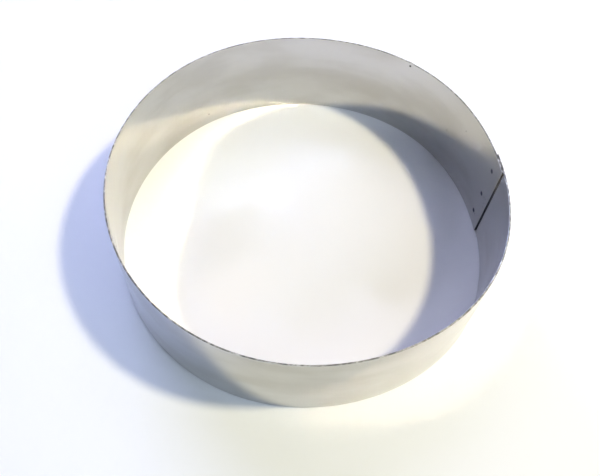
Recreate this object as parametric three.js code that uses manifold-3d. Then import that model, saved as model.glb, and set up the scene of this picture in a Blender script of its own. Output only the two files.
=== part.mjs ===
// Round cutting ring: one strip of sheet steel rolled round, its ends lapped and spot-welded.
// Millimetres, +Z up. The origin is the middle of the ring at its lower edge, and the lap's middle is on +X.

import * as THREE from 'three';
import { mergeVertices } from 'three/addons/utils/BufferGeometryUtils.js';
import Module from 'manifold-3d';

const wasm = await Module();
wasm.setup();

// The strip
const INNER_DIAMETER = 220; // across the ring, inside, at the strip's inner end
const HEIGHT = 60; // width of the strip, which stands on its edge
const SHEET = 0.8; // sheet thickness
const EDGE_BREAK = 0.15; // deburring of the cut edges
const MOST_EDGE_BREAK = 0.45; // share of the sheet that a broken edge may take

// The lap, where the strip's outer end passes over its inner end
const LAP_LENGTH = 13.6; // overlap along the wall
const LAP_GAP = 0.1; // air between the two ends
const LAP_FLAT = 1.2; // how far the lap lies inside a true circle, because rolled ends stay flatter
const RIPPLES = 4; // waves a turn by which that flat dies away round the ring

// The spot welds that hold the lap, in one upright row
const WELD_INSET = 3.5; // from the strip's outer end
const LOWEST_WELD = 8.5; // from the lower edge
const HIGHEST_WELD = 11.5; // from the upper edge
const MIDDLE_WELD_DROP = 2; // how far the middle weld sits below halfway
const NUGGET_DIAMETER = 4; // fused metal where the two ends meet
const MARK_DIAMETER = 2.6; // electrode mark on each face
const MARK_DEPTH = 0.15;
const WELD_CLEARANCE = 0.1; // between a nugget and the sheet around it

// Facets of the round forms
const FACETS_PER_TURN = 180;
const WELD_FACETS = 24;
const ARC_STEPS = 4;

const TURN = 2 * Math.PI;
const INNER_RADIUS = INNER_DIAMETER / 2;
const LAP_ANGLE = LAP_LENGTH / (INNER_RADIUS + SHEET);
const STRIP_START = -LAP_ANGLE / 2;
const STRIP_SWEEP = TURN + LAP_ANGLE;
const HALF_LAP = SHEET + LAP_GAP / 2; // from the middle of the lap's gap to either face

const STEEL = new THREE.MeshStandardMaterial({ color: 0xb8b8b4, roughness: 0.35, metalness: 1 });
const WELD_STEEL = new THREE.MeshStandardMaterial({ color: 0x6e6c70, roughness: 0.55, metalness: 1 });

// Radius of the strip's inner face. It climbs by one sheet and one gap a turn, so the outer end clears
// the inner one, and the flat at the lap fades out in ripples towards the far side.
function faceRadius(angle) {
  const climb = ((SHEET + LAP_GAP) * (angle - STRIP_START)) / TURN;
  const fade = (1 + Math.cos(angle)) / 2;
  return INNER_RADIUS + climb - LAP_FLAT * fade * Math.cos(RIPPLES * angle);
}

// Plan view of one face of the sheet, at an offset outward from its inner face.
class SheetFace extends THREE.Curve {
  constructor(offset) {
    super();
    this.offset = offset;
  }

  getPoint(t, target = new THREE.Vector2()) {
    const angle = STRIP_START + t * STRIP_SWEEP;
    const radius = faceRadius(angle) + this.offset;
    return target.set(radius * Math.cos(angle), radius * Math.sin(angle));
  }
}

// Barrel round the Y axis: widest in the middle, with dished ends. A negative dish makes domed ends.
function barrelGeometry(endDiameter, middleDiameter, halfLength, dish) {
  const endRadius = endDiameter / 2;
  const bulge = middleDiameter - endRadius; // control point that puts the middle at its diameter
  const profile = new THREE.Path();
  profile.moveTo(0, dish - halfLength);
  profile.quadraticCurveTo(endRadius / 2, dish - halfLength, endRadius, -halfLength);
  profile.quadraticCurveTo(bulge, 0, endRadius, halfLength);
  profile.quadraticCurveTo(endRadius / 2, halfLength - dish, 0, halfLength - dish);
  return new THREE.LatheGeometry(profile.getPoints(ARC_STEPS), WELD_FACETS);
}

function solidFromGeometry(geometry) {
  const bare = new THREE.BufferGeometry();
  bare.setAttribute('position', geometry.getAttribute('position'));
  if (geometry.index) {
    bare.setIndex(geometry.index);
  }
  const merged = mergeVertices(bare);
  return new wasm.Manifold(
    new wasm.Mesh({
      numProp: 3,
      vertProperties: merged.getAttribute('position').array,
      triVerts: new Uint32Array(merged.index.array),
    }),
  );
}

function geometryFromSolid(solid) {
  const mesh = solid.getMesh();
  const geometry = new THREE.BufferGeometry();
  geometry.setAttribute('position', new THREE.BufferAttribute(mesh.vertProperties, 3));
  geometry.setIndex(new THREE.BufferAttribute(mesh.triVerts, 1));
  geometry.computeVertexNormals();
  return geometry;
}

// The strip in plan, out along its inner face and back along its outer face, raised to its height.
function stripGeometry() {
  const steps = Math.round((FACETS_PER_TURN * STRIP_SWEEP) / TURN);
  const innerFace = new SheetFace(0).getPoints(steps);
  const outerFace = new SheetFace(SHEET).getPoints(steps);
  const plan = new THREE.Shape([...outerFace, ...innerFace.reverse()]);
  const edgeBreak = Math.min(EDGE_BREAK, MOST_EDGE_BREAK * SHEET);
  const geometry = new THREE.ExtrudeGeometry(plan, {
    depth: HEIGHT - 2 * edgeBreak,
    bevelThickness: edgeBreak,
    bevelSize: edgeBreak,
    bevelOffset: -edgeBreak,
    bevelSegments: 1,
  });
  return geometry.translate(0, 0, edgeBreak);
}

// Places a weld's geometry, whose axis is Y, across the lap at a height.
function placeWeld(mesh, height) {
  const angle = LAP_ANGLE / 2 - WELD_INSET / (INNER_RADIUS + SHEET);
  const radius = faceRadius(angle) + HALF_LAP;
  mesh.position.set(radius * Math.cos(angle), radius * Math.sin(angle), height);
  mesh.rotation.z = angle - Math.PI / 2;
  mesh.updateMatrixWorld();
  return mesh;
}

function weldHeights() {
  const lower = LOWEST_WELD;
  const upper = HEIGHT - HIGHEST_WELD;
  const middle = (lower + upper) / 2 - MIDDLE_WELD_DROP;
  return { spot_weld_lower: lower, spot_weld_middle: middle, spot_weld_upper: upper };
}

// Hole through both ends of the strip that a nugget fills, open past each face.
function weldPocket(height) {
  const grown = 2 * WELD_CLEARANCE;
  const geometry = barrelGeometry(MARK_DIAMETER + grown, NUGGET_DIAMETER + grown, HALF_LAP, -SHEET);
  const placed = placeWeld(new THREE.Mesh(geometry), height);
  return solidFromGeometry(geometry.clone().applyMatrix4(placed.matrixWorld));
}

function makeBand() {
  let solid = solidFromGeometry(stripGeometry());
  for (const height of Object.values(weldHeights())) {
    solid = solid.subtract(weldPocket(height));
  }
  const band = new THREE.Mesh(geometryFromSolid(solid), STEEL);
  band.name = 'band';
  return band;
}

function makeWelds() {
  const welds = new THREE.Group();
  for (const [name, height] of Object.entries(weldHeights())) {
    const geometry = barrelGeometry(MARK_DIAMETER, NUGGET_DIAMETER, HALF_LAP, MARK_DEPTH);
    const weld = placeWeld(new THREE.Mesh(geometry, WELD_STEEL), height);
    weld.name = name;
    welds.add(weld);
  }
  return welds;
}

const cuttingRing = new THREE.Group();
cuttingRing.add(makeBand(), makeWelds());

export default cuttingRing;
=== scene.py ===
"""Round cutting ring: a satin stainless strip rolled on edge, its lapped ends held by spot welds.

Lengths are metres in the part's own frame: +Z up, the ring's middle at the origin, the lap's middle on +X.
"""

import logging
import math
from collections.abc import Callable, Iterator
from contextlib import contextmanager
from dataclasses import dataclass, field
from enum import Enum

import bmesh
import bpy
from mathutils import Matrix, Quaternion, Vector


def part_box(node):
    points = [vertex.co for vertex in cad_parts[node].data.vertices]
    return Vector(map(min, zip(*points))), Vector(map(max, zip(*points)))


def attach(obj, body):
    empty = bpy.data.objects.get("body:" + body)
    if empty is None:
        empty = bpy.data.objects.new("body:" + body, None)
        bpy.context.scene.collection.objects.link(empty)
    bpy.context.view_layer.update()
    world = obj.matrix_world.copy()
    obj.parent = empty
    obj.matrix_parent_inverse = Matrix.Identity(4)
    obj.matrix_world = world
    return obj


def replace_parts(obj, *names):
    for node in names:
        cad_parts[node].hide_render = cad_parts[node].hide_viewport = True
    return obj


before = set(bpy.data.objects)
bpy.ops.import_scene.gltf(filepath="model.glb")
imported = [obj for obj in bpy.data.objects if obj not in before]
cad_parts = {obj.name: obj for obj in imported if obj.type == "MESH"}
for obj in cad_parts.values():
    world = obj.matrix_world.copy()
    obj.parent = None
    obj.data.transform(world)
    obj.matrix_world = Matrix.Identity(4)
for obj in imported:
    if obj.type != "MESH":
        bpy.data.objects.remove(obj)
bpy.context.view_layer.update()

LOG = logging.getLogger("cutting_ring")
MM = 0.001
TURN = 2 * math.pi
BODY = "root"
STRIP_UV = "strip_mm"
SHARP_ON_WALL = math.radians(35)
SHARP_ON_WELD = math.radians(50)

# How much of a face's normal points a way, at least, for a face that looks roughly or squarely that way.
ROUGHLY = 0.5
SQUARELY = 0.9


class Slot(Enum):
    """Material slots that the record names."""

    SHEET = "stainless_sheet"
    WELD = "weld_metal"


class Surface(Enum):
    """Kinds of surface on the strip, numbered as its materials are."""

    WALL = 0
    CUT_EDGE = 1
    CUT_END = 2


def linear(hex_colour: str) -> tuple[float, float, float, float]:
    """Turns an sRGB colour into linear light.

    Args:
        hex_colour: Six hex digits, such as "b8b8b4".

    Returns:
        Red, green and blue in linear light, and an alpha of 1.
    """
    shares = [int(hex_colour[i : i + 2], 16) / 255 for i in (0, 2, 4)]
    light = [s / 12.92 if s <= 0.04045 else ((s + 0.055) / 1.055) ** 2.4 for s in shares]
    return (*light, 1.0)


def add_node(
    tree: bpy.types.NodeTree,
    kind: str,
    inputs: dict[str | int, object] | None = None,
    **settings: object,
) -> bpy.types.Node:
    """Adds a shader node.

    Args:
        tree: The tree that gets the node.
        kind: The node's type name.
        inputs: What each input takes, by name or number: a value, or a socket to link from.
        settings: The node's own properties.

    Returns:
        The new node.
    """
    node = tree.nodes.new(kind)
    for name, value in settings.items():
        setattr(node, name, value)
    for name, value in (inputs or {}).items():
        if isinstance(value, bpy.types.NodeSocket):
            tree.links.new(value, node.inputs[name])
        else:
            node.inputs[name].default_value = value
    return node


def new_material(name: str) -> tuple[bpy.types.Material, bpy.types.NodeTree]:
    """Makes an empty node material.

    Args:
        name: The finish in plain words.

    Returns:
        The material and its cleared node tree.
    """
    material = bpy.data.materials.new(name)
    material.use_nodes = True
    material.node_tree.nodes.clear()
    return material, material.node_tree


def direction(azimuth: float, elevation: float) -> Vector:
    """Turns an azimuth and an elevation in degrees into a direction.

    Args:
        azimuth: Angle from +X towards +Y.
        elevation: Angle above the table.

    Returns:
        The direction, one unit long.
    """
    turn, rise = math.radians(azimuth), math.radians(elevation)
    return Vector((math.cos(rise) * math.cos(turn), math.cos(rise) * math.sin(turn), math.sin(rise)))


def select_only(piece: bpy.types.Object) -> None:
    """Selects one object, makes it active and deselects all the others.

    Args:
        piece: The object to select.
    """
    bpy.ops.object.select_all(action="DESELECT")
    piece.select_set(True)
    bpy.context.view_layer.objects.active = piece


@contextmanager
def edit_mode(piece: bpy.types.Object) -> Iterator[None]:
    """Opens a piece in edit mode with nothing selected, and closes it again.

    Args:
        piece: The mesh object to edit.
    """
    select_only(piece)
    bpy.ops.object.mode_set(mode="EDIT")
    bpy.ops.mesh.select_mode(type="FACE")
    bpy.ops.mesh.select_all(action="DESELECT")
    yield
    bpy.ops.object.mode_set(mode="OBJECT")


def select_faces(piece: bpy.types.Object, wanted: Callable[[bmesh.types.BMFace], bool]) -> None:
    """Selects faces of the piece that is in edit mode.

    Args:
        piece: The piece in edit mode.
        wanted: Says for a face whether it is selected.
    """
    mesh = bmesh.from_edit_mesh(piece.data)
    for face in mesh.faces:
        face.select_set(wanted(face))
    mesh.select_flush_mode()
    bmesh.update_edit_mesh(piece.data)


def apply_modifier(piece: bpy.types.Object, kind: str, **settings: object) -> None:
    """Adds a modifier and applies it.

    Args:
        piece: The mesh object.
        kind: The modifier's type name.
        settings: The modifier's properties.
    """
    modifier = piece.modifiers.new(kind.lower(), kind)
    for name, value in settings.items():
        setattr(modifier, name, value)
    select_only(piece)
    bpy.ops.object.modifier_apply(modifier=modifier.name)


def smooth(piece: bpy.types.Object, sharp_above: float) -> None:
    """Shades a piece smooth, apart from edges sharper than an angle in radians."""
    select_only(piece)
    bpy.ops.object.shade_smooth_by_angle(angle=sharp_above)


@dataclass(frozen=True)
class RolledPath:
    """Plan of the strip: a spiral that passes over its own start at the lap."""

    inner_radius: float = 110 * MM
    sheet: float = 0.8 * MM
    lap_length: float = 13.6 * MM
    lap_gap: float = 0.1 * MM
    lap_flat: float = 1.2 * MM
    ripples: int = 4

    @property
    def lap_angle(self) -> float:
        """Angle that the lap covers, in radians."""
        return self.lap_length / (self.inner_radius + self.sheet)

    @property
    def sweep(self) -> float:
        """Angle from the strip's inner end to its outer end, in radians."""
        return TURN + self.lap_angle

    @property
    def length(self) -> float:
        """Length of the strip before rolling, at the inner radius."""
        return self.sweep * self.inner_radius

    def rise(self, angle: float) -> float:
        """Distance of the inner face outside a true circle.

        Args:
            angle: Angle from the middle of the lap, in radians, from the inner end's to the outer end's.

        Returns:
            The climb of the spiral, less the flat at the lap that fades out round the ring.
        """
        climb = (self.sheet + self.lap_gap) * (angle + self.lap_angle / 2) / TURN
        fade = (1 + math.cos(angle)) / 2
        return climb - self.lap_flat * fade * math.cos(self.ripples * angle)

    def angle_along(self, distance: float) -> float:
        """Angle of a point that lies a distance along the flat strip from its middle."""
        return math.pi + distance / self.inner_radius

    def distance_along(self, angle: float) -> float:
        """Distance along the flat strip from its inner end to a point at an angle."""
        return (angle + self.lap_angle / 2) * self.inner_radius


@dataclass(frozen=True)
class Mark:
    """A small blemish on the sheet, at an angle from the lap's middle, in radians, and a height."""

    angle: float
    height: float
    width: float


@dataclass(frozen=True)
class SatinStainless:
    """Mill-finish stainless sheet, rolled lengthwise: soft mirror images, drawn out across the grain.

    The eye sees the table in it, blurred, with faint lines along the strip, soft handling marks, a few dark
    spots, fainter scuffs and a grey heat tint round the welds. One dark spot is painted shade in the nick's
    dent.
    """

    path: RolledPath
    specks_and_dent_shade: tuple[Mark, ...]
    scuffs: tuple[Mark, ...]
    heat_spots: tuple[Mark, ...]
    light_hex: str = "cdcccb"
    dull_hex: str = "bebcb9"
    # Colour of the scuffs and dark spots, including the painted shade in the nick's dent.
    dark_mark_and_dent_shade_hex: str = "3a3836"
    heat_hex: str = "8d8a90"
    heat_strength: float = 0.5
    scuff_strength: float = 0.6
    speck_and_dent_shade_strength: float = 1.0
    # Shares of a mark's width from its middle to where it starts to fade, and to where it is gone.
    mark_core: float = 0.15
    mark_reach: float = 0.5
    roughness_low: float = 0.12
    roughness_high: float = 0.19
    anisotropy: float = 0.3
    grain_turn: float = 0.25
    # Rolled lines are nearer 0.1 mm wide. They are drawn coarser, so that they show.
    grain_width_mm: float = 0.5
    grain_length_mm: float = 60.0
    smudge_length_mm: float = 50.0
    smudge_width_mm: float = 20.0
    smudge_from: float = 0.35
    smudge_to: float = 0.7
    smudge_share: float = 0.7
    grain_depth: float = 0.0012 * MM

    def spots(
        self,
        tree: bpy.types.NodeTree,
        place: bpy.types.NodeSocket,
        marks: tuple[Mark, ...],
        strength: float,
    ) -> bpy.types.NodeSocket:
        """Adds a mask of round marks that fade at their edges.

        Args:
            tree: The finish's node tree.
            place: The strip's map, in millimetres.
            marks: The marks to show.
            strength: The mask's value in the middle of a mark.

        Returns:
            The mask, which is 0 away from the marks.
        """
        masks = []
        for mark in marks:
            centre = (self.path.distance_along(mark.angle) / MM, mark.height / MM, 0)
            gap = add_node(tree, "ShaderNodeVectorMath", {0: place, 1: centre}, operation="DISTANCE")
            spot = add_node(
                tree,
                "ShaderNodeMapRange",
                {
                    "Value": gap.outputs["Value"],
                    "From Min": self.mark_core * mark.width / MM,
                    "From Max": self.mark_reach * mark.width / MM,
                    "To Min": strength,
                    "To Max": 0.0,
                },
                interpolation_type="SMOOTHSTEP",
            )
            masks.append(spot.outputs["Result"])
        together = masks[0]
        for mask in masks[1:]:
            darker = add_node(tree, "ShaderNodeMath", {0: together, 1: mask}, operation="MAXIMUM")
            together = darker.outputs["Value"]
        return together

    def material(self) -> bpy.types.Material:
        """Builds the finish on the strip's own UV map, which is in millimetres.

        Returns:
            The material for the strip's faces.
        """
        material, tree = new_material("satin_mill_finish_stainless")
        place = add_node(tree, "ShaderNodeUVMap", uv_map=STRIP_UV).outputs["UV"]
        along_grain = add_node(
            tree,
            "ShaderNodeMapping",
            {"Vector": place, "Scale": (1 / self.grain_length_mm, 1 / self.grain_width_mm, 1)},
        )
        grain = add_node(
            tree,
            "ShaderNodeTexNoise",
            {"Vector": along_grain.outputs["Vector"], "Scale": 1.0, "Detail": 3.0, "Roughness": 0.6},
            noise_dimensions="2D",
        )
        along_wipe = add_node(
            tree,
            "ShaderNodeMapping",
            {"Vector": place, "Scale": (1 / self.smudge_length_mm, 1 / self.smudge_width_mm, 1)},
        )
        smudge = add_node(
            tree,
            "ShaderNodeTexNoise",
            {"Vector": along_wipe.outputs["Vector"], "Scale": 1.0, "Detail": 4.0, "Roughness": 0.5},
            noise_dimensions="2D",
        )
        cloud = add_node(
            tree,
            "ShaderNodeMapRange",
            {"Value": smudge.outputs["Fac"], "From Min": self.smudge_from, "From Max": self.smudge_to},
            interpolation_type="SMOOTHSTEP",
        )
        dullness = add_node(
            tree,
            "ShaderNodeMix",
            {0: self.smudge_share, 2: grain.outputs["Fac"], 3: cloud.outputs["Result"]},
            data_type="FLOAT",
        ).outputs[0]
        roughness = add_node(
            tree,
            "ShaderNodeMapRange",
            {"Value": dullness, "To Min": self.roughness_low, "To Max": self.roughness_high},
        )
        clean = add_node(
            tree,
            "ShaderNodeMix",
            {0: dullness, 6: linear(self.light_hex), 7: linear(self.dull_hex)},
            data_type="RGBA",
        )
        colour = clean.outputs[2]
        for marks, strength, shade in (
            (self.heat_spots, self.heat_strength, self.heat_hex),
            (self.scuffs, self.scuff_strength, self.dark_mark_and_dent_shade_hex),
            # Dark spots; the first is painted shade in the nick's dent.
            (self.specks_and_dent_shade, self.speck_and_dent_shade_strength, self.dark_mark_and_dent_shade_hex),
        ):
            mask = self.spots(tree, place, marks, strength)
            marked = add_node(
                tree,
                "ShaderNodeMix",
                {0: mask, 6: colour, 7: linear(shade)},
                data_type="RGBA",
            )
            colour = marked.outputs[2]
        bump = add_node(
            tree,
            "ShaderNodeBump",
            {"Height": grain.outputs["Fac"], "Strength": 1.0, "Distance": self.grain_depth},
        )
        shader = add_node(
            tree,
            "ShaderNodeBsdfPrincipled",
            {
                "Base Color": colour,
                "Roughness": roughness.outputs["Result"],
                "Normal": bump.outputs["Normal"],
                "Metallic": 1.0,
                "Anisotropic": self.anisotropy,
                "Anisotropic Rotation": self.grain_turn,
            },
        )
        add_node(tree, "ShaderNodeOutputMaterial", {"Surface": shader.outputs["BSDF"]})
        return material


@dataclass(frozen=True)
class ShearedStainless:
    """Cut edge of the sheet: dull and darker than the faces, with bright flecks where the shear tore it."""

    name: str
    light_hex: str
    dark_hex: str
    roughness: float = 0.5
    tear_mm: float = 3.0
    tear_depth: float = 0.02 * MM
    fleck_from: float = 0.4
    fleck_to: float = 0.7

    def material(self) -> bpy.types.Material:
        """Builds the finish on Object coordinates, because the edges are too narrow for the strip's map.

        Returns:
            The material for one kind of cut edge.
        """
        material, tree = new_material(self.name)
        place = add_node(tree, "ShaderNodeTexCoord").outputs["Object"]
        tears = add_node(
            tree,
            "ShaderNodeTexNoise",
            {"Vector": place, "Scale": 1 / (self.tear_mm * MM), "Detail": 3.0, "Roughness": 0.7},
        )
        flecks = add_node(
            tree,
            "ShaderNodeMapRange",
            {"Value": tears.outputs["Fac"], "From Min": self.fleck_from, "From Max": self.fleck_to},
            interpolation_type="SMOOTHSTEP",
        )
        colour = add_node(
            tree,
            "ShaderNodeMix",
            {0: flecks.outputs["Result"], 6: linear(self.dark_hex), 7: linear(self.light_hex)},
            data_type="RGBA",
        )
        bump = add_node(
            tree,
            "ShaderNodeBump",
            {"Height": tears.outputs["Fac"], "Strength": 1.0, "Distance": self.tear_depth},
        )
        shader = add_node(
            tree,
            "ShaderNodeBsdfPrincipled",
            {
                "Base Color": colour.outputs[2],
                "Normal": bump.outputs["Normal"],
                "Roughness": self.roughness,
                "Metallic": 1.0,
            },
        )
        add_node(tree, "ShaderNodeOutputMaterial", {"Surface": shader.outputs["BSDF"]})
        return material


@dataclass
class Band:
    """The rolled strip, from its inner end round to the outer end that laps over it."""

    path: RolledPath
    heat_spots: tuple[Mark, ...]
    height: float = 60 * MM
    edge_break: float = 0.15 * MM
    burr: float = 0.1 * MM
    burr_length: float = 1.8 * MM
    burr_reach: float = 0.2 * MM
    cells_along: int = 720
    cells_up: int = 16
    fine_length: float = 18 * MM
    fine_cuts: int = 1
    nick: Mark = Mark(math.radians(47.9), 59.5 * MM, 6 * MM)
    nick_depth: float = 0.4 * MM
    # The nick has finer cells up to this many of its half widths from its middle.
    nick_patch: float = 1.5
    nick_cuts: int = 3
    # The first dark spot lies just under the nick and is painted shade of its dent.
    specks_and_dent_shade: tuple[Mark, ...] = (
        Mark(math.radians(47.9), 57.6 * MM, 2.0 * MM),
        Mark(math.radians(119.3), 8.7 * MM, 1.3 * MM),
        Mark(math.radians(28.0), 30.3 * MM, 1.0 * MM),
        Mark(math.radians(20.2), 44.6 * MM, 1.0 * MM),
    )
    scuffs: tuple[Mark, ...] = (
        Mark(math.radians(-0.5), 28.3 * MM, 1.4 * MM),
        Mark(math.radians(-1.6), 29.0 * MM, 1.2 * MM),
        Mark(math.radians(-1.8), 25.5 * MM, 1.2 * MM),
        Mark(math.radians(-1.9), 22.0 * MM, 1.2 * MM),
        Mark(math.radians(0.3), 8.2 * MM, 1.4 * MM),
    )
    piece: bpy.types.Object = field(init=False)

    def build(self) -> bpy.types.Object:
        """Models the strip flat, on edge, and rolls it up.

        Returns:
            The finished band, in place.
        """
        self.piece = self.flat_strip()
        self.thicken()
        apply_modifier(
            self.piece,
            "BEVEL",
            width=self.edge_break,
            segments=1,
            limit_method="ANGLE",
            offset_type="OFFSET",
        )
        self.roughen_rim()
        self.roll()
        return self.piece

    def flat_strip(self) -> bpy.types.Object:
        """Adds the inner face as a flat grid on edge, with finer cells near both ends and round the nick.

        Returns:
            The grid, with a UV map in millimetres.
        """
        bpy.ops.object.select_all(action="DESELECT")
        bpy.ops.mesh.primitive_grid_add(
            x_subdivisions=self.cells_along,
            y_subdivisions=self.cells_up,
            size=1,
            location=(0, 0, self.height / 2),
            rotation=(math.pi / 2, 0, 0),
        )
        piece = bpy.context.active_object
        piece.name = "rolled_band"
        piece.scale = (self.path.length, self.height, 1)
        bpy.ops.object.transform_apply(location=True, rotation=True, scale=True)
        piece.data.uv_layers[0].name = STRIP_UV
        for corner in piece.data.uv_layers[STRIP_UV].data:
            corner.uv = (corner.uv[0] * self.path.length / MM, corner.uv[1] * self.height / MM)
        plain_end = self.path.length / 2 - self.fine_length
        with edit_mode(piece):
            select_faces(piece, lambda face: abs(face.calc_center_median().x) > plain_end)
            bpy.ops.mesh.subdivide(number_cuts=self.fine_cuts)
            select_faces(piece, lambda face: self.nick_reach(face.calc_center_median()) < self.nick_patch)
            bpy.ops.mesh.subdivide(number_cuts=self.nick_cuts)
            # Where fine cells meet coarse ones, faces with more than four corners wouldn't bend cleanly.
            select_faces(piece, lambda face: len(face.verts) > 4)
            bpy.ops.mesh.quads_convert_to_tris(ngon_method="BEAUTY")
        return piece

    def nick_reach(self, point: Vector) -> float:
        """Distance of a point on the flat strip from the nick's middle, in half widths of the nick."""
        middle = self.path.distance_along(self.nick.angle) - self.path.length / 2
        return math.hypot(point.x - middle, point.z - self.nick.height) / (self.nick.width / 2)

    def thicken(self) -> None:
        """Extrudes the flat face outward by the sheet's thickness, which closes the strip.

        The outer face then takes the next length of the map, so that each face has marks of its own.
        """
        with edit_mode(self.piece):
            bpy.ops.mesh.select_all(action="SELECT")
            bpy.ops.mesh.extrude_region_move(TRANSFORM_OT_translate={"value": (0, -self.path.sheet, 0)})
            bpy.ops.mesh.select_all(action="SELECT")
            bpy.ops.mesh.normals_make_consistent(inside=False)
            mesh = bmesh.from_edit_mesh(self.piece.data)
            uv = mesh.loops.layers.uv[STRIP_UV]
            for face in mesh.faces:
                if face.normal.y < -SQUARELY:
                    for corner in face.loops:
                        corner[uv].uv.x += self.path.length / MM
            bmesh.update_edit_mesh(self.piece.data)

    def roughen_rim(self) -> None:
        """Leaves the upper cut edge slightly uneven, as the shear does."""
        rim = self.piece.vertex_groups.new(name="upper_edge")
        lowest = self.height - self.burr_reach
        rim.add([v.index for v in self.piece.data.vertices if v.co.z > lowest], 1.0, "ADD")
        texture = bpy.data.textures.new("shear_burr", "CLOUDS")
        texture.noise_scale = self.burr_length
        apply_modifier(
            self.piece,
            "DISPLACE",
            texture=texture,
            texture_coords="LOCAL",
            vertex_group=rim.name,
            strength=self.burr,
        )

    def roll(self) -> None:
        """Pushes the nick in, and bends the flat strip round the ring's axis, along the spiral."""
        for vertex in self.piece.data.vertices:
            dent = max(0.0, 1 - self.nick_reach(vertex.co) ** 2) ** 2
            vertex.co.y -= self.path.rise(self.path.angle_along(vertex.co.x)) + self.nick_depth * dent
        apply_modifier(
            self.piece,
            "SIMPLE_DEFORM",
            deform_method="BEND",
            deform_axis="Z",
            angle=self.path.sweep,
        )
        to_axis = Matrix.Translation((0, -self.path.inner_radius, 0))
        self.piece.data.transform(Matrix.Rotation(-math.pi / 2, 4, "Z") @ to_axis)

    def dress(self) -> None:
        """Gives the faces the satin finish, and the cut edges and ends their own; the ends' near-black is
        partly painted shade.
        """
        finishes = {
            Surface.WALL: SatinStainless(self.path, self.specks_and_dent_shade, self.scuffs, self.heat_spots),
            Surface.CUT_EDGE: ShearedStainless("sheared_stainless_edge", "d8d4ca", "64625c"),
            # The ends' near-black is partly the sheared face's own dull tone and partly painted shade of the
            # dark gap beside the lap's inner end.
            Surface.CUT_END: ShearedStainless("sheared_end_with_painted_gap_shade", "3e3d3a", "201f1e"),
        }
        for surface in Surface:
            self.piece.data.materials.append(finishes[surface].material())
        for face in self.piece.data.polygons:
            face.material_index = self.surface_of(face).value
        smooth(self.piece, SHARP_ON_WALL)
        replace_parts(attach(self.piece, BODY), "band")

    def surface_of(self, face: bpy.types.MeshPolygon) -> Surface:
        """Tells which kind of surface a face of the rolled strip belongs to.

        Args:
            face: The face, in the ring's frame.

        Returns:
            A long cut edge if it looks up or down, the wall if it looks in or out, or else a cut end.
        """
        if abs(face.normal.z) > ROUGHLY:
            return Surface.CUT_EDGE
        outward = Vector((face.center.x, face.center.y, 0)).normalized()
        if abs(face.normal.dot(outward)) < ROUGHLY:
            return Surface.CUT_END
        return Surface.WALL


@dataclass(frozen=True)
class WeldMetal:
    """Spot-weld mark: bare steel that the heat scaled dark grey, or blue-grey where the scale is thin."""

    scale_hex: str = "3b3a3d"
    tint_hex: str = "5a5a6c"
    roughness: float = 0.5
    pit_mm: float = 0.5
    pit_depth: float = 0.04 * MM

    def material(self) -> bpy.types.Material:
        """Builds the finish on Object coordinates.

        Returns:
            The material for all the welds.
        """
        material, tree = new_material("heat_scaled_weld_steel")
        place = add_node(tree, "ShaderNodeTexCoord").outputs["Object"]
        pits = add_node(
            tree,
            "ShaderNodeTexNoise",
            {"Vector": place, "Scale": 1 / (self.pit_mm * MM), "Detail": 4.0, "Roughness": 0.65},
        )
        colour = add_node(
            tree,
            "ShaderNodeMix",
            {0: pits.outputs["Fac"], 6: linear(self.scale_hex), 7: linear(self.tint_hex)},
            data_type="RGBA",
        )
        bump = add_node(
            tree,
            "ShaderNodeBump",
            {"Height": pits.outputs["Fac"], "Strength": 1.0, "Distance": self.pit_depth},
        )
        shader = add_node(
            tree,
            "ShaderNodeBsdfPrincipled",
            {
                "Base Color": colour.outputs[2],
                "Normal": bump.outputs["Normal"],
                "Roughness": self.roughness,
                "Metallic": 1.0,
            },
        )
        add_node(tree, "ShaderNodeOutputMaterial", {"Surface": shader.outputs["BSDF"]})
        return material


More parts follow.
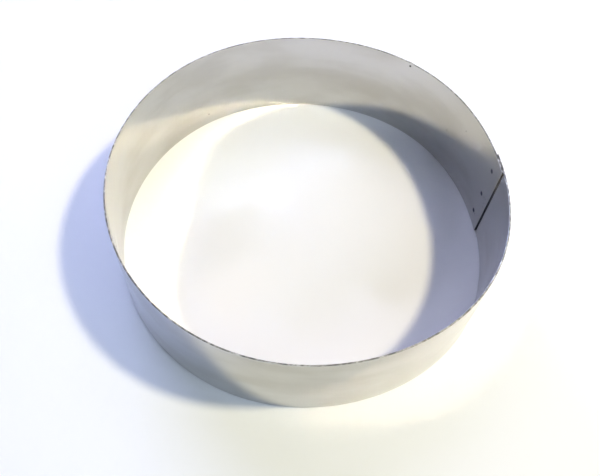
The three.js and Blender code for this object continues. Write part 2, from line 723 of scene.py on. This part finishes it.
@dataclass(frozen=True)
class SpotWelds:
    """The upright row of nuggets that joins the lapped ends, each trapped in a pocket through both."""

    path: RolledPath
    inset: float = 3.5 * MM
    nugget_diameter: float = 4 * MM
    mark_diameter: float = 2.6 * MM
    mark_depth: float = 0.15 * MM
    lip: float = 0.04 * MM
    lip_width: float = 0.26 * MM
    tint_diameter: float = 5.2 * MM
    clearance: float = 0.1 * MM
    facets: int = 48
    rings: int = 8
    dish_steps: int = 3

    @property
    def half_lap(self) -> float:
        """Distance from the middle of the lap's gap to either face."""
        return self.path.sheet + self.path.lap_gap / 2

    @property
    def angle(self) -> float:
        """Angle of the row from the lap's middle."""
        return self.path.lap_angle / 2 - self.inset / (self.path.inner_radius + self.path.sheet)

    def heat_spots(self) -> tuple[Mark, ...]:
        """Tells where the welding heat has tinted the strip, inside on one end and outside on the other.

        Returns:
            The tinted places. The outer face's lie one strip further along, as its map does.
        """
        angles = (self.angle, self.angle + TURN + self.path.sweep)
        heights = self.heights().values()
        return tuple(Mark(angle, height, self.tint_diameter) for angle in angles for height in heights)

    def place(self, height: float) -> Matrix:
        """Turns a weld that stands on its axis at the origin so that it crosses the lap.

        Args:
            height: Height of the weld's axis above the lower edge.

        Returns:
            The turn and the move.
        """
        radius = self.path.inner_radius + self.path.rise(self.angle) + self.half_lap
        crossing = Matrix.Translation((radius, 0, height)) @ Matrix.Rotation(math.pi / 2, 4, "Y")
        return Matrix.Rotation(self.angle, 4, "Z") @ crossing

    def barrel(self, name: str, grow: float) -> bpy.types.Object:
        """Extrudes a disc ring by ring into a barrel round the Z axis, widest in the middle.

        Args:
            name: The object's name.
            grow: How much larger its radius is than the nugget's.

        Returns:
            The closed barrel, centred at the origin.
        """
        end_radius = self.mark_diameter / 2 + grow
        bulge = (self.nugget_diameter - self.mark_diameter) / 2
        step = 2 * self.half_lap / self.rings
        bpy.ops.object.select_all(action="DESELECT")
        bpy.ops.mesh.primitive_circle_add(
            vertices=self.facets,
            radius=end_radius,
            fill_type="NGON",
            location=(0, 0, -self.half_lap),
        )
        bpy.ops.object.transform_apply(location=True)
        piece = bpy.context.active_object
        piece.name = name
        radius = end_radius
        with edit_mode(piece):
            bpy.ops.mesh.select_all(action="SELECT")
            for ring in range(1, self.rings + 1):
                share = ring / self.rings
                # The barrel's side is a parabola, which stands out by the bulge halfway along.
                next_radius = end_radius + bulge * 4 * share * (1 - share)
                growth = next_radius / radius
                bpy.ops.mesh.extrude_region_move(TRANSFORM_OT_translate={"value": (0, 0, step)})
                bpy.ops.transform.resize(value=(growth, growth, 1))
                radius = next_radius
            bpy.ops.mesh.select_all(action="SELECT")
            bpy.ops.mesh.normals_make_consistent(inside=False)
        return piece

    def pocket(self) -> bpy.types.Object:
        """Models the cutter for a weld's hole, which runs past both faces of the lap.

        Returns:
            The cutter, centred at the origin.
        """
        piece = self.barrel("weld_pocket", self.clearance)
        with edit_mode(piece):
            for end in (-1, 1):
                select_faces(piece, lambda face: face.normal.z * end > SQUARELY)
                bpy.ops.mesh.extrude_region_move(
                    TRANSFORM_OT_translate={"value": (0, 0, end * self.path.sheet)}
                )
        return piece

    def nugget(self) -> bpy.types.Object:
        """Models one weld, with a raised lip and a dished mark on each end.

        Returns:
            The dressed weld, centred at the origin.
        """
        piece = self.barrel("weld_nugget", 0)
        dish_width = (self.mark_diameter / 2 - self.lip_width) / (self.dish_steps + 1)
        # The dish falls steeply inside the lip and levels out towards its middle.
        falls = range(self.dish_steps, 0, -1)
        with edit_mode(piece):
            for end in (-1, 1):
                select_faces(piece, lambda face: face.normal.z * end > SQUARELY)
                bpy.ops.mesh.inset(thickness=self.lip_width, depth=self.lip)
                for fall in falls:
                    drop = (self.mark_depth + self.lip) * fall / sum(falls)
                    bpy.ops.mesh.inset(thickness=dish_width, depth=-drop)
        piece.data.materials.append(WeldMetal().material())
        smooth(piece, SHARP_ON_WELD)
        return piece

    def copy_across(self, model: bpy.types.Object, name: str, height: float) -> bpy.types.Object:
        """Copies a model, with a mesh of its own, to where it crosses the lap.

        Args:
            model: The model at the origin.
            name: The copy's name.
            height: Height of the copy's axis above the lower edge.

        Returns:
            The copy, in place.
        """
        piece = model.copy()
        piece.name = name
        piece.data = model.data.copy()
        piece.data.transform(self.place(height))
        bpy.context.scene.collection.objects.link(piece)
        return piece

    def cut(self, band: bpy.types.Object) -> None:
        """Cuts the pockets of all the welds out of the band.

        Args:
            band: The rolled strip.
        """
        model = self.pocket()
        for node, height in self.heights().items():
            cutter = self.copy_across(model, f"pocket_of_{node}", height)
            apply_modifier(band, "BOOLEAN", object=cutter, operation="DIFFERENCE", solver="EXACT")
            bpy.data.objects.remove(cutter)
        bpy.data.objects.remove(model)

    def heights(self) -> dict[str, float]:
        """Reads each weld's height from its CAD node."""
        nodes = [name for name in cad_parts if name.startswith("spot_weld")]
        return {name: sum(corner.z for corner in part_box(name)) / 2 for name in sorted(nodes)}

    def build(self) -> list[bpy.types.Object]:
        """Models a weld, and copies it to each height.

        Returns:
            The welds, in the order of their CAD nodes' names.
        """
        model = self.nugget()
        pieces = []
        for node, height in self.heights().items():
            piece = self.copy_across(model, f"dished_{node}", height)
            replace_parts(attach(piece, BODY), node)
            pieces.append(piece)
        bpy.data.objects.remove(model)
        return pieces


@dataclass(frozen=True)
class AreaLamp:
    """A soft lamp, placed by where it stands seen from the ring, with its angles in degrees.

    The floor level is the linear light that it alone gives a white floor at the ring.
    """

    name: str
    azimuth: float
    elevation: float
    distance: float
    width: float
    height: float
    floor_level: tuple[float, float, float]
    round: bool = False

    def add(self) -> None:
        """Adds the lamp, facing the ring, with the power that lights a white floor to its level."""
        data = bpy.data.lights.new(self.name, "AREA")
        data.shape = "DISK" if self.round else "RECTANGLE"
        data.size = self.width
        data.size_y = self.height
        strongest = max(self.floor_level)
        towards = direction(self.azimuth, self.elevation)
        # A floor that faces the lamp gets its power over (pi * distance) ** 2, and a slanting one gets less.
        data.energy = strongest * (math.pi * self.distance) ** 2 / towards.z
        data.color = [level / strongest for level in self.floor_level]
        lamp = bpy.data.objects.new(self.name, data)
        lamp.location = self.distance * towards
        lamp.rotation_euler = towards.to_track_quat("Z", "Y").to_euler()
        bpy.context.scene.collection.objects.link(lamp)


@dataclass(frozen=True)
class PhotoCamera:
    """The camera at the photograph's place, aimed at the ring's middle and turned a little from there.

    Its place is in degrees. Pan, tilt and roll are in radians.
    """

    azimuth: float = -101.6
    elevation: float = 57.40
    distance: float = 422.18 * MM
    lens_mm: float = 40.41
    sensor_mm: float = 36.0
    pan: float = -0.00482
    tilt: float = -0.00649
    roll: float = 0.09077

    def add(self) -> None:
        """Adds the camera and makes it the scene's own."""
        towards = direction(self.azimuth, self.elevation)
        right = Vector((0, 0, 1)).cross(towards).normalized()
        up = towards.cross(right)
        aim = self.pan * right + self.tilt * up - towards
        data = bpy.data.cameras.new("photo_camera")
        data.sensor_width = self.sensor_mm
        data.lens = self.lens_mm
        camera = bpy.data.objects.new("photo_camera", data)
        camera.location = self.distance * towards
        camera.rotation_mode = "QUATERNION"
        camera.rotation_quaternion = aim.to_track_quat("-Z", "Y") @ Quaternion((0, 0, 1), self.roll)
        bpy.context.scene.collection.objects.link(camera)
        bpy.context.scene.camera = camera


@dataclass(frozen=True)
class Studio:
    """White table, a warm lamp on the right, a low cool window behind, soft fills and a dim room above.

    The room is white below one height and dim above another, both as sines of the elevation. Where it is
    seen, and doesn't only light, both lie several times as high, so that low views have a white background.
    """

    floor_size: float = 12.0
    floor_hex: str = "fbfbfb"
    lit_radius: float = 0.45
    white_radius: float = 0.9
    horizon_hex: str = "ffffff"
    ceiling_hex: str = "2a3038"
    room_strength: float = 1.0
    white_below: float = 0.02
    dim_above: float = 0.12
    seen_lift: float = 5.0
    lamps: tuple[AreaLamp, ...] = (
        AreaLamp("warm_lamp", -13.0, 61.0, 1.78, 0.17, 0.17, (0.54, 0.488, 0.325), round=True),
        AreaLamp("low_window", 115.0, 10.8, 2.0, 1.22, 0.14, (0.135, 0.16, 0.285)),
        AreaLamp("low_doorway", 36.0, 15.0, 2.0, 1.07, 0.18, (0.07, 0.065, 0.075)),
        AreaLamp("back_fill", 90.0, 50.0, 2.0, 1.9, 0.7, (0.185, 0.195, 0.285)),
        AreaLamp("front_right_fill", 310.0, 43.0, 2.0, 1.6, 0.7, (0.115, 0.135, 0.145)),
        AreaLamp("front_fill", 258.0, 16.0, 2.0, 1.8, 0.2, (0.07, 0.085, 0.115)),
    )

    def build(self) -> None:
        """Adds the floor, the lamps, the room's light and the camera."""
        self.add_floor()
        self.add_room()
        for lamp in self.lamps:
            lamp.add()
        PhotoCamera().add()
        bpy.context.scene.view_settings.view_transform = "Standard"
        # The light that the steel throws on the table stays as crisp and as bright as its finish makes it.
        bpy.context.scene.cycles.blur_glossy = 0
        bpy.context.scene.cycles.sample_clamp_indirect = 0

    def seen(self, tree: bpy.types.NodeTree) -> bpy.types.NodeSocket:
        """Adds a mask of the rays that show the background: directly, in a mirror image or through glass.

        Args:
            tree: The tree of the material or the world that is the background.

        Returns:
            The mask, which is 0 for rays that only carry light.
        """
        rays = add_node(tree, "ShaderNodeLightPath")
        mask = rays.outputs["Is Camera Ray"]
        for kind in ("Is Glossy Ray", "Is Transmission Ray"):
            either = add_node(tree, "ShaderNodeMath", {0: mask, 1: rays.outputs[kind]}, operation="MAXIMUM")
            mask = either.outputs["Value"]
        return mask

    def add_floor(self) -> None:
        """Adds the white table that the ring stands on."""
        bpy.ops.object.select_all(action="DESELECT")
        bpy.ops.mesh.primitive_plane_add(size=self.floor_size)
        floor = bpy.context.active_object
        floor.name = "white_table"
        floor.data.materials.append(self.floor_material())

    def floor_material(self) -> bpy.types.Material:
        """Builds matt white laminate that turns into a plain white background far from the ring.

        Returns:
            The material for the table.
        """
        material, tree = new_material("matt_white_laminate")
        place = add_node(tree, "ShaderNodeTexCoord").outputs["Object"]
        distance = add_node(tree, "ShaderNodeVectorMath", {0: place}, operation="LENGTH")
        far = add_node(
            tree,
            "ShaderNodeMapRange",
            {
                "Value": distance.outputs["Value"],
                "From Min": self.lit_radius,
                "From Max": self.white_radius,
            },
            interpolation_type="SMOOTHSTEP",
        )
        table = add_node(tree, "ShaderNodeBsdfDiffuse", {"Color": linear(self.floor_hex)})
        backdrop = add_node(tree, "ShaderNodeEmission", {"Color": linear(self.horizon_hex), "Strength": 1.0})
        share = add_node(
            tree,
            "ShaderNodeMath",
            {0: far.outputs["Result"], 1: self.seen(tree)},
            operation="MULTIPLY",
        )
        surface = add_node(
            tree,
            "ShaderNodeMixShader",
            {0: share.outputs["Value"], 1: table.outputs["BSDF"], 2: backdrop.outputs["Emission"]},
        )
        add_node(tree, "ShaderNodeOutputMaterial", {"Surface": surface.outputs["Shader"]})
        return material

    def add_room(self) -> None:
        """Lights the world: white at the horizon, dimmer and cooler towards the ceiling."""
        world = bpy.data.worlds.new("dim_room")
        bpy.context.scene.world = world
        world.use_nodes = True
        tree = world.node_tree
        tree.nodes.clear()
        outlook = add_node(tree, "ShaderNodeTexCoord").outputs["Generated"]
        height = add_node(tree, "ShaderNodeSeparateXYZ", {"Vector": outlook}).outputs["Z"]
        lowered = add_node(
            tree,
            "ShaderNodeMath",
            {0: self.seen(tree), 1: 1 / self.seen_lift - 1, 2: 1.0},
            operation="MULTIPLY_ADD",
        )
        seen_height = add_node(
            tree,
            "ShaderNodeMath",
            {0: height, 1: lowered.outputs["Value"]},
            operation="MULTIPLY",
        )
        dimness = add_node(
            tree,
            "ShaderNodeMapRange",
            {
                "Value": seen_height.outputs["Value"],
                "From Min": self.white_below,
                "From Max": self.dim_above,
            },
            interpolation_type="SMOOTHSTEP",
        )
        colour = add_node(
            tree,
            "ShaderNodeMix",
            {0: dimness.outputs["Result"], 6: linear(self.horizon_hex), 7: linear(self.ceiling_hex)},
            data_type="RGBA",
        )
        light = add_node(
            tree,
            "ShaderNodeBackground",
            {"Color": colour.outputs[2], "Strength": self.room_strength},
        )
        add_node(tree, "ShaderNodeOutputWorld", {"Surface": light.outputs["Background"]})


def main() -> None:
    """Builds the ring and its studio, and reports each piece."""
    logging.basicConfig(level=logging.INFO, format="%(name)s: %(message)s")
    path = RolledPath()
    welds = SpotWelds(path)
    band = Band(path, welds.heat_spots())
    welds.cut(band.build())
    band.dress()
    for piece in [band.piece, *welds.build()]:
        LOG.info("%s: %d faces", piece.name, len(piece.data.polygons))
    Studio().build()


if __name__ == "__main__":
    main()
